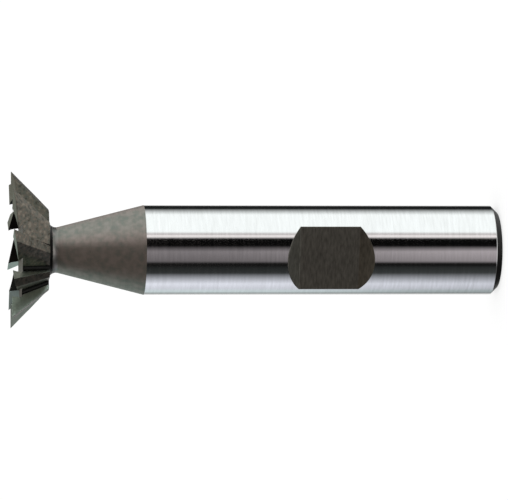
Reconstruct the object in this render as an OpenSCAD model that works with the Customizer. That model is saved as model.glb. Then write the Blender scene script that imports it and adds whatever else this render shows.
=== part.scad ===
// Dovetail milling cutter, turned, milled and ground from one bar of high-speed steel.
// It stands on the end of its shank with the axis along +Z and the cutting face on top.
// It cuts right-handed: seen from above, from the cutting face, it turns counter-clockwise.

/* [Shank] */
// Diameter of the ground shank
shank_d = 12; // [10:0.5:16]
// Length of the shank, from its end to the neck
shank_l = 47.8; // [40:0.1:60]
// Chamfer on the end of the shank
shank_chamfer = 0.9; // [0.4:0.1:2]

/* [Clamping flat] */
// Length of the flat's floor, along the shank
flat_l = 8; // [5:0.5:12]
// Depth of the flat below the round of the shank
flat_depth = 1.8; // [0.8:0.1:2.5]
// Distance from the end of the shank to the middle of the flat
flat_from_end = 23.2; // [15:0.1:30]
// Slope of the flat's two end walls, from its floor
flat_wall_angle = 45; // [30:5:75]

/* [Neck] */
// Length of the tapered neck, from the shank to the back of the head
neck_l = 12.7; // [9:0.1:18]
// Diameter that the taper would reach at the back of the head
neck_d = 5.5; // [4.5:0.1:7]
// Fillet between the neck and the back of the head
neck_fillet = 1; // [0.4:0.1:1.4]

/* [Head] */
// Diameter over the tooth tips, at the cutting face
head_d = 21; // [19:0.5:24]
// Width of the head, along the axis
head_w = 5; // [4:0.25:6]
// Angle between the cutting face and the cutting flank
dovetail_angle = 45; // [40:1:55]

/* [Teeth] */
// Number of teeth
teeth = 10; // [8:1:12]
// Turn of the teeth from the shank's +X side
tooth_turn = 10.5; // [0:0.5:36]
// Depth of a gullet at the cutting face
gullet_depth = 3.6; // [2.5:0.1:4.2]
// Slope of the gullet's bottom from the axis
gullet_slope = 28; // [20:1:32]
// Angle between a rake face and the back of the tooth ahead
gullet_angle = 70; // [66:1:76]
// Radius at the bottom of a gullet
gullet_radius = 0.4; // [0.2:0.05:0.6]
// Lean of the rake face from the axis
axial_rake = 9; // [0:1:14]
// Clearance ground behind each flank edge
flank_relief = 12; // [6:1:16]
// Clearance ground behind each end edge
end_relief = 13; // [6:1:14]

/* [Cutting face] */
// Diameter of the recess turned in the cutting face
recess_d = 14.4; // [13:0.2:16]
// Depth of that recess
recess_depth = 1.3; // [1:0.1:1.8]

/* [Centre holes] */
// Diameter at the mouth of the two grinding centres
centre_d = 3.2; // [2.4:0.1:4]
// Diameter of their pilot holes
centre_pilot_d = 1.6; // [1:0.1:2]
// Depth of a centre with its pilot
centre_depth = 3; // [2.5:0.1:4]

/* [Hidden] */
$fn = 128;

shank_r = shank_d / 2;
head_r = head_d / 2;
overall_l = shank_l + neck_l + head_w;
back_z = shank_l + neck_l;
back_r = head_r - head_w / tan(dovetail_angle);
pitch = 360 / teeth;
centre_angle = 60;
// How far the cutting tools run past the surfaces that they cut
overrun = 1;

// Neck taper, and the fillet's centre and its tangent point on the taper
taper_angle = atan((shank_r - neck_d / 2) / neck_l);
fillet_z = back_z - neck_fillet;
fillet_r = neck_d / 2 + neck_fillet * tan(taper_angle) + neck_fillet / cos(taper_angle);
taper_end = [fillet_r - neck_fillet * cos(taper_angle), fillet_z - neck_fillet * sin(taper_angle)];

// The gullet's bottom starts here, on the cutting face
gullet_r = head_r - gullet_depth;
// Sideways run of an end edge for each mm of its length outwards
edge_lead = tan(axial_rake) * sin(gullet_slope);
tip_y = edge_lead * gullet_depth;
tip_x = sqrt(head_r * head_r - tip_y * tip_y);
// The next tooth's end edge lies this many degrees past the end of a ground end face
end_gap = 3;
// Share of the pitch that the wheel sweeps behind a flank edge, at the back of the head
land_share = 0.7;
// Where the flank edge ends, at the back of the head
edge_end_y = edge_lead * (back_r - gullet_r) - tan(axial_rake) * cos(gullet_slope) * head_w;
flank_l = head_w / sin(dovetail_angle);
flank_skew = atan((tip_y - edge_end_y) / flank_l);

// Half of the section through the axis, with the fillet behind the head as a true arc
module section() {
    difference() {
        polygon([
            [0, 0],
            [shank_r - shank_chamfer, 0],
            [shank_r, shank_chamfer],
            [shank_r, shank_l],
            taper_end,
            [fillet_r, fillet_z],
            [fillet_r, back_z],
            [back_r, back_z],
            [head_r, overall_l],
            [0, overall_l]
        ]);
        translate([fillet_r, fillet_z])
            circle(r = neck_fillet);
    }
}

// Section of one gullet: the rake wall lies along +X, and its round bottom touches both walls
module gullet_section() {
    reach = head_r;
    touch = gullet_radius / tan(gullet_angle / 2);
    union() {
        polygon([
            [touch, 0],
            [reach, 0],
            reach * [cos(gullet_angle), sin(gullet_angle)],
            touch * [cos(gullet_angle), sin(gullet_angle)],
            [touch, gullet_radius]
        ]);
        translate([touch, gullet_radius])
            circle(r = gullet_radius);
    }
}

// One straight gullet, from the cutting face down to the level of the fillet's centre
module gullet() {
    above = head_r * tan(gullet_slope);
    below = (overall_l - fillet_z) / (cos(gullet_slope) * cos(axial_rake));
    translate([gullet_r, 0, overall_l])
        rotate([0, gullet_slope, 0])
            rotate([-axial_rake, 0, 0])
                translate([0, 0, -below])
                    linear_extrude(below + above)
                        gullet_section();
}

// Wedge ground off the cutting face behind one end edge, ending in the next tooth's gullet
module end_clearance() {
    reach = head_r + overrun;
    ahead = pitch / 4;
    behind = pitch - end_gap;
    intersection() {
        translate([0, 0, overall_l - head_w / 2])
            linear_extrude(head_w)
                polygon([
                    [0, 0],
                    reach * [cos(ahead), sin(ahead)],
                    reach * [1, 0],
                    reach * [cos(behind), -sin(behind)]
                ]);
        translate([gullet_r, 0, overall_l])
            rotate([0, 0, atan(edge_lead)])
                rotate([end_relief, 0, 0])
                    translate([-head_d, -head_d, 0])
                        cube([2 * head_d, 2 * head_d, head_w]);
    }
}

// Sliver ground off the land behind one flank edge
module flank_clearance() {
    land_reach = back_r * sin(pitch * land_share);
    translate([tip_x, tip_y, overall_l])
        rotate([0, 90 + dovetail_angle, 0])
            rotate([0, 0, -flank_skew])
                rotate([flank_relief, 0, 0])
                    translate([-overrun, -land_reach, 0])
                        cube([flank_l + 2 * overrun, land_reach + overrun, 2 * overrun]);
}

// Milled flat on the -Y side, with sloping end walls, for the holder's clamping screw
module clamping_flat() {
    floor_y = shank_r - flat_depth;
    top_y = shank_r + overrun;
    half_floor = flat_l / 2;
    half_top = half_floor + (top_y - floor_y) / tan(flat_wall_angle);
    translate([0, 0, flat_from_end])
        rotate([90, 0, -90])
            linear_extrude(shank_d + 2 * overrun, center = true)
                polygon([
                    [floor_y, -half_floor],
                    [top_y, -half_top],
                    [top_y, half_top],
                    [floor_y, half_floor]
                ]);
}

// Centre for grinding the cutter between points: its mouth lies at z = 0 and it runs up
module centre_hole() {
    mouth = centre_d / 2 / tan(centre_angle / 2);
    translate([0, 0, -overrun])
        cylinder(d = centre_pilot_d, h = centre_depth + overrun);
    cylinder(d1 = centre_d, d2 = 0, h = mouth);
}

// Shallow recess inside the ring of end edges, with the second centre in its floor
module face_recess() {
    floor_z = overall_l - recess_depth;
    translate([0, 0, floor_z])
        cylinder(d = recess_d, h = recess_depth + overrun);
    translate([0, 0, floor_z])
        mirror([0, 0, 1])
            centre_hole();
}

module cutter() {
    color("silver")
        difference() {
            rotate_extrude()
                section();
            for (i = [0 : teeth - 1])
                rotate([0, 0, tooth_turn + i * pitch]) {
                    gullet();
                    end_clearance();
                    flank_clearance();
                }
            face_recess();
            centre_hole();
            clamping_flat();
        }
}

cutter();
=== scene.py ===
from math import cos, hypot, pi, radians, sin

import bmesh
import bpy
from mathutils import Matrix, Vector


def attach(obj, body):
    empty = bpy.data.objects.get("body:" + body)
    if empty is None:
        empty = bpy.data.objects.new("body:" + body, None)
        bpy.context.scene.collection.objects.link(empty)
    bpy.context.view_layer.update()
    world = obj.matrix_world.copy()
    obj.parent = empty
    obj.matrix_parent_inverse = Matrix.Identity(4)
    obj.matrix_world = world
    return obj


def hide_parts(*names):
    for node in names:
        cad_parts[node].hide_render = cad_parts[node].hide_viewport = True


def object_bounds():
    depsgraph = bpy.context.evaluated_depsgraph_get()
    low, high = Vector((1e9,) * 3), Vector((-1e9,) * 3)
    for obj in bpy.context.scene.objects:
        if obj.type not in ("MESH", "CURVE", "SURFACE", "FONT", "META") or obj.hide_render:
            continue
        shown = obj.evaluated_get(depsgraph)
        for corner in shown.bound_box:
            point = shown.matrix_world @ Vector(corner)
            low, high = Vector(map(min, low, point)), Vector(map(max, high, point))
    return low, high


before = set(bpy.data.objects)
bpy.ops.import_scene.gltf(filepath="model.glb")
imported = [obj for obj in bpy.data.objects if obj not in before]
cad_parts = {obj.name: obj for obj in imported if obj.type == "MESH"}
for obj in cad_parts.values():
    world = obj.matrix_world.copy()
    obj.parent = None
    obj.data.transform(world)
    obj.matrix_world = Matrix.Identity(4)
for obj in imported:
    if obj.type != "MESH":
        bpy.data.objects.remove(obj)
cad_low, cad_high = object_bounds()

# The cutter
# One bar of high-speed steel, turned to shape, its teeth milled, then hardened and ground. The whole
# tool is one solid, and every edge on it is broken by a hair.
MM = 0.001
EDGE_BREAK = 0.05 * MM
SEAM = 0.01 * MM
# Faces that meet at less than the first angle are one face, and an edge of more than the second is broken
ONE_FACE = radians(0.2)
SHARP = radians(11)

steel = bmesh.new()
steel.from_mesh(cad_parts["cutter"].data)
bmesh.ops.remove_doubles(steel, verts=steel.verts, dist=SEAM)
bmesh.ops.dissolve_limit(steel, angle_limit=ONE_FACE, verts=steel.verts, edges=steel.edges)
sharp_edges = [e for e in steel.edges if e.is_manifold and e.calc_face_angle() > SHARP]
bmesh.ops.bevel(
    steel,
    geom=sharp_edges,
    affect="EDGES",
    offset=EDGE_BREAK,
    offset_type="OFFSET",
    segments=2,
    profile=0.5,
    clamp_overlap=False,
    material=-1,
)
# The bevel lifts the tooth tips by less than a micrometre, so they are put back level with the cutting face
for vert in steel.verts:
    vert.co.z = min(vert.co.z, cad_high[2])
bmesh.ops.triangulate(steel, faces=[f for f in steel.faces if len(f.verts) > 4])
steel.normal_update()


def new_object(name, data):
    """A new object in the scene, at the origin, unturned and unscaled."""
    made = bpy.data.objects.new(name, data)
    bpy.context.scene.collection.objects.link(made)
    return made


cutter_mesh = bpy.data.meshes.new("dovetail_cutter")
cutter = new_object("dovetail_cutter", cutter_mesh)

# The shank
# The round that the holder grips, hardened and then ground between centres to its size. Its finish is
# bright with a hair of grinding lines around it, so it mirrors the studio in long clean bands.
SHANK_R = 6 * MM
SHANK_L = 47.8 * MM
SHANK_CHAMFER = 0.9 * MM
SHANK_COLOURS = ("#dcdbda", "#fbfafa")
SHANK_ROUGHNESS = (0.07, 0.11)
# Real grinding lines lie closer together, and are drawn this far apart so that they show
GRIND_LINE = 0.3 * MM
GRIND_RUN = 3 * MM
GRIND_DETAIL = 3
GRIND_DEPTH = 0.02 * MM
GRIND_BUMP = 0.06
# Nearly all of a noise pattern lies between these two values
NOISE_LOW = 0.3
NOISE_HIGH = 0.7
# The sockets for the two colours of a Mix node, and the one for the colour that it gives
MIX_A = 6
MIX_B = 7
MIXED = 2


def linear(code):
    """A colour written as sRGB hex, as the linear RGBA that the shaders take."""
    parts = [int(code[i : i + 2], 16) / 255 for i in (1, 3, 5)]
    return [c / 12.92 if c <= 0.04045 else ((c + 0.055) / 1.055) ** 2.4 for c in parts] + [1]


def add(tree, kind, inputs=None, stops=None, **settings):
    """Adds a node with its settings and links: an input given as a socket is linked, any other is set."""
    node = tree.nodes.new(kind)
    for name, value in settings.items():
        setattr(node, name, value)
    for key, value in (inputs or {}).items():
        if isinstance(value, bpy.types.NodeSocket):
            tree.links.new(value, node.inputs[key])
        else:
            node.inputs[key].default_value = value
    if stops:
        ramp = node.color_ramp.elements
        while len(ramp) < len(stops):
            ramp.new(1)
        for element, (spot, colour) in zip(ramp, stops):
            element.position = spot
            element.color = colour
    return node


def finish(name):
    """A new metal on the cutter: returns its slot, its node tree, its shader and the Object coordinates."""
    material = bpy.data.materials.new(name)
    material.use_nodes = True
    cutter_mesh.materials.append(material)
    tree = material.node_tree
    shader = tree.nodes["Principled BSDF"]
    shader.inputs["Metallic"].default_value = 1
    place = add(tree, "ShaderNodeTexCoord").outputs["Object"]
    return len(cutter_mesh.materials) - 1, tree, shader, place


def tool_lines(tree, place, run, gap, detail):
    """The lines that a tool leaves: noise drawn out to a run around the axis, and a gap apart along it."""
    scale = (1 / run, 1 / run, 1 / gap)
    drawn_out = add(tree, "ShaderNodeMapping", {"Vector": place, "Scale": scale})
    noise = {"Vector": drawn_out.outputs[0], "Scale": 1, "Detail": detail}
    return add(tree, "ShaderNodeTexNoise", noise).outputs[0]


shank_slot, tree, shader, place = finish("ground_bright_steel")
grain = tool_lines(tree, place, GRIND_RUN, GRIND_LINE, GRIND_DETAIL)
gloss = add(
    tree,
    "ShaderNodeMapRange",
    {
        "Value": grain,
        "From Min": NOISE_LOW,
        "From Max": NOISE_HIGH,
        "To Min": SHANK_ROUGHNESS[0],
        "To Max": SHANK_ROUGHNESS[1],
    },
)
scratch = add(
    tree,
    "ShaderNodeBump",
    {"Height": grain, "Strength": GRIND_BUMP, "Distance": GRIND_DEPTH},
)
tint = add(
    tree,
    "ShaderNodeMix",
    {0: grain, MIX_A: linear(SHANK_COLOURS[0]), MIX_B: linear(SHANK_COLOURS[1])},
    data_type="RGBA",
)
tree.links.new(tint.outputs[MIXED], shader.inputs["Base Color"])
tree.links.new(gloss.outputs[0], shader.inputs["Roughness"])
tree.links.new(scratch.outputs[0], shader.inputs["Normal"])

# The neck
# The taper between shank and head, turned before hardening and never ground, like the floor of the recess
# in the cutting face. It keeps a satin skin, brown-grey from the hardening, with the lathe's fine rings
# around it.
NECK_L = 12.7 * MM
NECK_TAPER = radians(14.36)
HEAD_Z = SHANK_L + NECK_L
NECK_COLOURS = ("#828480", "#8f8b87", "#999390")
NECK_MOTTLE = 0.9 * MM
NECK_ROUGHNESS = (0.36, 0.48)
TURN_RING = 0.22 * MM
TURN_RUN = 3 * MM
TURN_DETAIL = 4
TURN_DEPTH = 0.03 * MM
TURN_BUMP = 0.12
# Where the first colour of a mottled skin lies along its noise, and how far on each next colour lies
SKIN_START = 0.35
NECK_STEP = 0.15
SKIN_DETAIL = 6

neck_slot, tree, shader, place = finish("turned_hardened_steel")
grain = tool_lines(tree, place, TURN_RUN, TURN_RING, TURN_DETAIL)
skin = add(tree, "ShaderNodeTexNoise", {"Vector": place, "Scale": 1 / NECK_MOTTLE, "Detail": SKIN_DETAIL})
tint = add(
    tree,
    "ShaderNodeValToRGB",
    {0: skin.outputs[0]},
    stops=[(SKIN_START + NECK_STEP * i, linear(code)) for i, code in enumerate(NECK_COLOURS)],
)
gloss = add(
    tree,
    "ShaderNodeMapRange",
    {
        "Value": grain,
        "From Min": NOISE_LOW,
        "From Max": NOISE_HIGH,
        "To Min": NECK_ROUGHNESS[0],
        "To Max": NECK_ROUGHNESS[1],
    },
)
scratch = add(
    tree,
    "ShaderNodeBump",
    {"Height": grain, "Strength": TURN_BUMP, "Distance": TURN_DEPTH},
)
tree.links.new(tint.outputs[0], shader.inputs["Base Color"])
tree.links.new(gloss.outputs[0], shader.inputs["Roughness"])
tree.links.new(scratch.outputs[0], shader.inputs["Normal"])

# The clamping flat
# A pocket milled across the shank for the holder's screw. It was cut before hardening and left as it
# came from the furnace, so it is nearly black, with the mill's lines across it.
FLAT_MID_Z = 23.2 * MM
FLAT_HALF = 6 * MM
FLAT_COLOURS = ("#42413c", "#949289")
FLAT_ROUGHNESS = 0.45
MILL_LINE = 0.25 * MM
MILL_RUN = 1 * MM
MILL_DETAIL = 4
MILL_DEPTH = 0.03 * MM
MILL_BUMP = 0.15

flat_slot, tree, shader, place = finish("milled_black_steel")
grain = tool_lines(tree, place, MILL_RUN, MILL_LINE, MILL_DETAIL)
tint = add(
    tree,
    "ShaderNodeMix",
    {0: grain, MIX_A: linear(FLAT_COLOURS[0]), MIX_B: linear(FLAT_COLOURS[1])},
    data_type="RGBA",
)
scratch = add(
    tree,
    "ShaderNodeBump",
    {"Height": grain, "Strength": MILL_BUMP, "Distance": MILL_DEPTH},
)
shader.inputs["Roughness"].default_value = FLAT_ROUGHNESS
tree.links.new(tint.outputs[MIXED], shader.inputs["Base Color"])
tree.links.new(scratch.outputs[0], shader.inputs["Normal"])

# The head's gullets
# The tooth backs, the flank lands and the bottoms of the gullets, form-milled before hardening. Scale
# and blasting leave them mottled brown and green-grey, and duller than the ground faces.
GULLET_COLOURS = ("#57524a", "#6b6c64", "#746b61", "#878176")
GULLET_STEP = 0.1
GULLET_MOTTLE = 0.5 * MM
GULLET_DEPTH = 0.03 * MM
GULLET_BUMP = 0.2
GULLET_ROUGHNESS = 0.38

gullet_slot, tree, shader, place = finish("milled_hardened_steel")
skin = add(tree, "ShaderNodeTexNoise", {"Vector": place, "Scale": 1 / GULLET_MOTTLE, "Detail": SKIN_DETAIL})
tint = add(
    tree,
    "ShaderNodeValToRGB",
    {0: skin.outputs[0]},
    stops=[(SKIN_START + GULLET_STEP * i, linear(code)) for i, code in enumerate(GULLET_COLOURS)],
)
scratch = add(
    tree,
    "ShaderNodeBump",
    {"Height": skin.outputs[0], "Strength": GULLET_BUMP, "Distance": GULLET_DEPTH},
)
shader.inputs["Roughness"].default_value = GULLET_ROUGHNESS
tree.links.new(tint.outputs[0], shader.inputs["Base Color"])
tree.links.new(scratch.outputs[0], shader.inputs["Normal"])

# The ground tooth faces
# The rake faces and the end faces, ground last to bring up the cutting edges. They are cleaner and
# lighter than the gullets, with wheel lines that are drawn coarser than real ones so that they show.
TOOTH_COLOURS = ("#9eaba0", "#becbc0")
TOOTH_ROUGHNESS = (0.33, 0.38)
WHEEL_LINE = 0.3 * MM
WHEEL_RUN = 3 * MM
WHEEL_DETAIL = 3

tooth_slot, tree, shader, place = finish("ground_tooth_steel")
grain = tool_lines(tree, place, WHEEL_RUN, WHEEL_LINE, WHEEL_DETAIL)
gloss = add(
    tree,
    "ShaderNodeMapRange",
    {
        "Value": grain,
        "From Min": NOISE_LOW,
        "From Max": NOISE_HIGH,
        "To Min": TOOTH_ROUGHNESS[0],
        "To Max": TOOTH_ROUGHNESS[1],
    },
)
tint = add(
    tree,
    "ShaderNodeMix",
    {0: grain, MIX_A: linear(TOOTH_COLOURS[0]), MIX_B: linear(TOOTH_COLOURS[1])},
    data_type="RGBA",
)
tree.links.new(tint.outputs[MIXED], shader.inputs["Base Color"])
tree.links.new(gloss.outputs[0], shader.inputs["Roughness"])

# The black faces and painted shade
# The end face of the shank and the two centres that the cutter turned on while it was ground: no tool
# reached them after the furnace, so they are black from hardening. The chamfer of the shank and the wall of
# the recess in the cutting face are black too. On the corner behind the head and the roots of the gullets
# the same black is painted shade.
RECESS_R = 7.2 * MM
CENTRE_R = 1.6 * MM
BLACK_AND_SHADE_COLOURS = ("#1a1a19", "#292827")
BLACK_MOTTLE = 0.5 * MM
BLACK_DETAIL = 4
BLACK_ROUGHNESS = 0.4

# This black is also the painted shade in the corner behind the head and in the roots of the gullets
black_and_painted_shade_slot, tree, shader, place = finish("black_steel_and_painted_shade")
skin = add(tree, "ShaderNodeTexNoise", {"Vector": place, "Scale": 1 / BLACK_MOTTLE, "Detail": BLACK_DETAIL})
tint = add(
    tree,
    "ShaderNodeMix",
    {0: skin.outputs[0], MIX_A: linear(BLACK_AND_SHADE_COLOURS[0]), MIX_B: linear(BLACK_AND_SHADE_COLOURS[1])},
    data_type="RGBA",
)
shader.inputs["Roughness"].default_value = BLACK_ROUGHNESS
tree.links.new(tint.outputs[MIXED], shader.inputs["Base Color"])

# The finished cutter
# Each face of the one solid takes the finish of the place where it lies, and some hollows take painted
# shade.
# The shank and the neck are shaded as true rounds, and the broken edges run smoothly into the faces beside
# them.
SMOOTH = radians(35)
TAPER_FIT = 0.01
# The share of a face's direction that has to point up, down, in to the axis or on around it
UPWARD = 0.9
DOWNWARD = 0.5
INWARD = 0.5
ONWARD = 0.6


def slot_of(face):
    """The finish or painted shade of one face of the cutter, from where it lies and which way it points."""
    centre = face.calc_center_median()
    normal = face.normal
    radius = hypot(centre.x, centre.y)
    outward = Vector((centre.x, centre.y, 0)).normalized()
    onward = Vector((-outward.y, outward.x, 0))
    if centre.z < SHANK_CHAMFER - EDGE_BREAK or (radius < CENTRE_R + SEAM and centre.z < SHANK_L):
        return black_and_painted_shade_slot
    if centre.z < SHANK_L:
        beside_flat = abs(centre.z - FLAT_MID_Z) < FLAT_HALF
        round_face = radius > SHANK_R - EDGE_BREAK and normal.dot(outward) > cos(SHARP)
        return flat_slot if beside_flat and not round_face else shank_slot
    if centre.z < HEAD_Z - SEAM:
        # The faces of the corner behind the head that point down take the black as painted shade
        return black_and_painted_shade_slot if normal.z < -DOWNWARD else neck_slot
    in_recess = radius < RECESS_R + SEAM
    if in_recess and normal.z > UPWARD:
        return neck_slot
    hollows = [edge for edge in face.edges if edge.is_manifold and not edge.is_convex]
    gullet_root = len(face.edges) == 4 and len(hollows) > 1
    # The wall of the recess is black, and on the roots of the gullets the black is painted shade
    if in_recess and (normal.dot(outward) < -INWARD or gullet_root):
        return black_and_painted_shade_slot
    ground = normal.z > UPWARD or normal.dot(onward) > ONWARD
    return tooth_slot if ground and centre.z > HEAD_Z + EDGE_BREAK else gullet_slot


for face in steel.faces:
    face.smooth = True
    face.material_index = slot_of(face)


def shading_normals(face):
    """Shading normals of one face: true ones on the shank and taper, and elsewhere those of the faces
    that meet smoothly at each corner, where the larger face counts for more."""
    found = []
    for vert in face.verts:
        outward = Vector((vert.co.x, vert.co.y, 0)).normalized()
        lean = None
        if face.material_index == shank_slot and face.normal.dot(outward) > cos(SHARP):
            lean = 0
        if face.material_index == neck_slot and abs(face.normal.z - sin(NECK_TAPER)) < TAPER_FIT:
            lean = NECK_TAPER
        if lean is None:
            near = [f for f in vert.link_faces if f.normal.angle(face.normal, 0) < SMOOTH]
            total = sum((f.normal * f.calc_area() for f in near), Vector())
            found.append(total.normalized())
        else:
            found.append(outward * cos(lean) + Vector((0, 0, sin(lean))))
    return found


normals = [normal for face in steel.faces for normal in shading_normals(face)]
steel.to_mesh(cutter_mesh)
steel.free()
cutter_mesh.normals_split_custom_set(normals)
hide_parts("cutter")
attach(cutter, "root")

# The floor
# A plain white table top. The camera sees it white, and part of its own shading is kept so that the
# cutter's soft shadow stays on it. The standing shank mirrors downwards, past the floor to the tent.
FLOOR_HALF = 3
FLOOR_COLOUR = "#f7f7f7"
WHITE = "#ffffff"
WHITE_SHARE = 0.75

floor_mesh = bpy.data.meshes.new("floor")
sheet = bmesh.new()
bmesh.ops.create_grid(sheet, x_segments=1, y_segments=1, size=FLOOR_HALF)
sheet.to_mesh(floor_mesh)
sheet.free()
floor = new_object("floor", floor_mesh)
floor.visible_glossy = False
paint = bpy.data.materials.new("white_table_top")
paint.use_nodes = True
floor_mesh.materials.append(paint)
tree = paint.node_tree
tree.nodes.remove(tree.nodes["Principled BSDF"])
rays = add(tree, "ShaderNodeLightPath")
seen = rays.outputs["Is Camera Ray"]
for ray in ("Is Glossy Ray", "Is Transmission Ray"):
    seen = add(tree, "ShaderNodeMath", {0: seen, 1: rays.outputs[ray]}, operation="MAXIMUM").outputs[0]
share = add(tree, "ShaderNodeMath", {0: seen, 1: WHITE_SHARE}, operation="MULTIPLY")
shaded = add(tree, "ShaderNodeBsdfDiffuse", {"Color": linear(FLOOR_COLOUR)})
white = add(tree, "ShaderNodeEmission", {"Color": linear(WHITE)})
surface = add(
    tree,
    "ShaderNodeMixShader",
    {0: share.outputs[0], 1: shaded.outputs[0], 2: white.outputs[0]},
)
tree.links.new(surface.outputs[0], tree.nodes["Material Output"].inputs["Surface"])

# The studio tent
# A round tent of white cloth stands around the table, and only the metal mirrors it. Cards hang upright
# in it, so the polished shank shows them as bands along its length.
VIEW_AZIMUTH = 14.8
TENT_R = 2.5
TENT_PANELS = 64
BRIGHTEST = 1.15
UNLIT = "#000000"
# Each card: its two sides, in degrees around the table from the camera, the brightness there at its foot,
# the share of that at its top, and its tint
CARDS = (
    (-180, -160, 0.75, 0.75, 1, "#ffffff"),
    (-153, -147, 0.3, 0.3, 1.3, "#f4ffff"),
    (-138, -132, 0.42, 0.45, 1.7, "#edfcff"),
    (-116, -98, 0.65, 0.78, 1.25, "#f0f4ff"),
    (-62, -46, 0.054, 0.028, 0.7, "#f4ffff"),
    (-40, -34.5, 0.008, 0.01, 1, "#ffffff"),
    (-28.5, -4, 0.3, 0.45, 0.5, "#fff6fb"),
    (10, 29, 0.003, 0.003, 1, "#ffffff"),
    (34.5, 37.5, 1, 1, 1, "#fffafa"),
    (40, 42, 0.6, 0.6, 1, "#fffafa"),
    (48, 103, 1.15, 1.15, 1, "#f9ffff"),
    (133, 157, 0.014, 0.014, 1, "#f4ffff"),
    (166, 180, 0.75, 0.75, 1, "#ffffff"),
)
# The lower cloth, the feet of the cards, their tops and the upper cloth: the way that each is measured from
# the middle of the tent, and where along it each starts to show and shows fully. The cards hang lower on
# the side away from the camera.
CLOTH_EDGE = ((0, 0, 1), -0.38, -0.52)
CARD_FOOT = ((-0.06, 0, 1), -0.5, -0.4)
CARD_FADE = ((0, 0, 1), -0.18, -0.09)
CARD_TOP = ((0, 0, 1), -0.03, 0.06)
# The cloth above and below the cards, and the light behind it: the way that its light runs from the
# middle of the tent, then places along that way, with the brightness and the tint there
UPPER_CLOTH = ((0, 1, 0), ((0.32, 0.24, "#fff0e4"), (0.56, 1.1, "#fff1ec"), (0.9, 1.05, "#f4fff8")))
LOWER_CLOTH = (
    (0.6, 1, 0),
    ((-0.3, 0.1, "#ffffff"), (-0.06, 0.95, "#ffffff"), (0.45, 0.95, "#ffffff"), (0.8, 0.5, "#f6fff8")),
)
BACKLIGHT = ((-0.7, -0.7, -0.4), ((0.4, 0, "#effff6"), (0.65, 0.48, "#effff6"), (0.9, 0.58, "#effff6")))
# No point of the tent lies further along such a way than this
WAY_SPAN = 1.5

tent_mesh = bpy.data.meshes.new("studio_tent")
cloth = bmesh.new()
bmesh.ops.create_uvsphere(cloth, u_segments=TENT_PANELS, v_segments=TENT_PANELS // 2, radius=TENT_R)
cloth.to_mesh(tent_mesh)
cloth.free()
tent = new_object("studio_tent", tent_mesh)
tent.visible_camera = False
tent.visible_diffuse = False
tent.visible_shadow = False
glowing = bpy.data.materials.new("lit_tent_cloth")
glowing.use_nodes = True
tent_mesh.materials.append(glowing)
tree = glowing.node_tree
tree.nodes.remove(tree.nodes["Principled BSDF"])


def shades(value, span, marks):
    """Colours along a value from -span to span: each mark is its place, the brightness and the tint."""
    along = add(tree, "ShaderNodeMapRange", {"Value": value, "From Min": -span, "From Max": span})
    stops = []
    for spot, level, code in marks:
        colour = [c * level / BRIGHTEST for c in linear(code)[:3]] + [1]
        stops.append(((spot + span) / (2 * span), colour))
    return add(tree, "ShaderNodeValToRGB", {0: along.outputs[0]}, stops=stops).outputs[0]


place = add(tree, "ShaderNodeTexCoord").outputs["Object"]
turned = add(
    tree,
    "ShaderNodeMapping",
    {"Vector": place, "Rotation": (0, 0, radians(90 - VIEW_AZIMUTH)), "Scale": [1 / TENT_R] * 3},
)
point = turned.outputs[0]
parts = add(tree, "ShaderNodeSeparateXYZ", {0: point})
around = add(tree, "ShaderNodeMath", {0: parts.outputs["Y"], 1: parts.outputs["X"]}, operation="ARCTAN2")
foot_marks = []
top_marks = []
for first, last, first_level, last_level, top_share, code in CARDS:
    for angle, level in ((first, first_level), (last, last_level)):
        foot_marks.append((radians(angle), level, code))
        top_marks.append((radians(angle), level * top_share, code))
feet = shades(around.outputs[0], pi, foot_marks)
tops = shades(around.outputs[0], pi, top_marks)
cloths = []
for way, marks in (UPPER_CLOTH, LOWER_CLOTH, BACKLIGHT):
    reach = add(tree, "ShaderNodeVectorMath", {0: point, 1: way}, operation="DOT_PRODUCT")
    cloths.append(shades(reach.outputs["Value"], WAY_SPAN, marks))
upper, lower, behind = cloths
backlit = add(
    tree,
    "ShaderNodeMix",
    {0: 1, MIX_A: upper, MIX_B: behind},
    data_type="RGBA",
    blend_type="LIGHTEN",
)
layers = (
    (CLOTH_EDGE, lower),
    (CARD_FOOT, feet),
    (CARD_FADE, tops),
    (CARD_TOP, backlit.outputs[MIXED]),
)
glow = linear(UNLIT)
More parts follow.
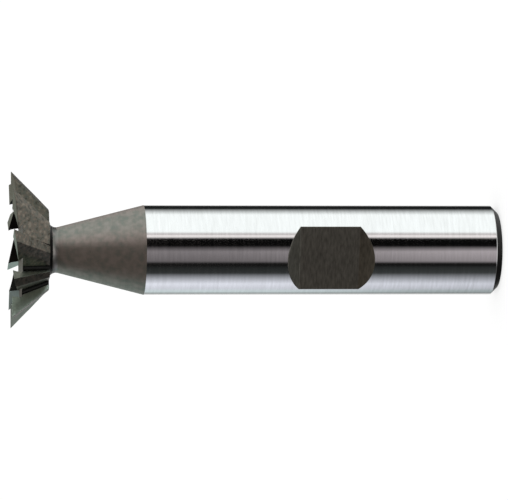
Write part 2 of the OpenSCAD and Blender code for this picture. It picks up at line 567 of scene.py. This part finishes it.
for (way, starts, full), layer in layers:
    reach = add(tree, "ShaderNodeVectorMath", {0: point, 1: way}, operation="DOT_PRODUCT")
    share = add(
        tree,
        "ShaderNodeMapRange",
        {"Value": reach.outputs["Value"], "From Min": starts, "From Max": full},
        interpolation_type="SMOOTHSTEP",
    )
    mixed = add(tree, "ShaderNodeMix", {0: share.outputs[0], MIX_A: glow, MIX_B: layer}, data_type="RGBA")
    glow = mixed.outputs[MIXED]
lit = add(tree, "ShaderNodeEmission", {"Color": glow, "Strength": BRIGHTEST})
tree.links.new(lit.outputs[0], tree.nodes["Material Output"].inputs["Surface"])

# The room light
# The white room outside the tent lights the table evenly, and a wide soft box above it adds a little.
# The metal doesn't mirror the box, because the tent hangs between them.
LAMP_HEIGHT = 2
LAMP_SIZE = 3
LAMP_POWER = 20

world = bpy.data.worlds.new("white_room")
bpy.context.scene.world = world
world.use_nodes = True
world.node_tree.nodes["Background"].inputs["Color"].default_value = linear(WHITE)
lamp_data = bpy.data.lights.new("soft_box", "AREA")
lamp_data.shape = "SQUARE"
lamp_data.size = LAMP_SIZE
lamp_data.energy = LAMP_POWER
lamp = new_object("soft_box", lamp_data)
lamp.location = (0, 0, LAMP_HEIGHT)
lamp.visible_glossy = False

# The camera
# A long lens, a little above the standing cutter and a small turn around it from the middle of the flat.
# It is rolled on its side, so the cutter lies across the picture with its head to the left.
IMAGE_WIDTH = 508
PIXELS_PER_MM = 7.455
VIEW_ELEVATION = 6.5
VIEW_DISTANCE = 0.48
AIM_Z = 32.9 * MM

camera_data = bpy.data.cameras.new("camera")
camera_data.lens = camera_data.sensor_width * PIXELS_PER_MM * VIEW_DISTANCE / MM / IMAGE_WIDTH
camera = new_object("camera", camera_data)
bpy.context.scene.camera = camera
azimuth = radians(VIEW_AZIMUTH)
elevation = radians(VIEW_ELEVATION)
side = Vector((cos(azimuth), sin(azimuth), 0))
back = Vector((sin(azimuth) * cos(elevation), -cos(azimuth) * cos(elevation), sin(elevation)))
right = side.cross(back)
turn = Matrix((right, side, back)).transposed().to_4x4()
camera.matrix_world = Matrix.Translation(Vector((0, 0, AIM_Z)) + back * VIEW_DISTANCE) @ turn

bpy.context.scene.view_settings.view_transform = "Standard"
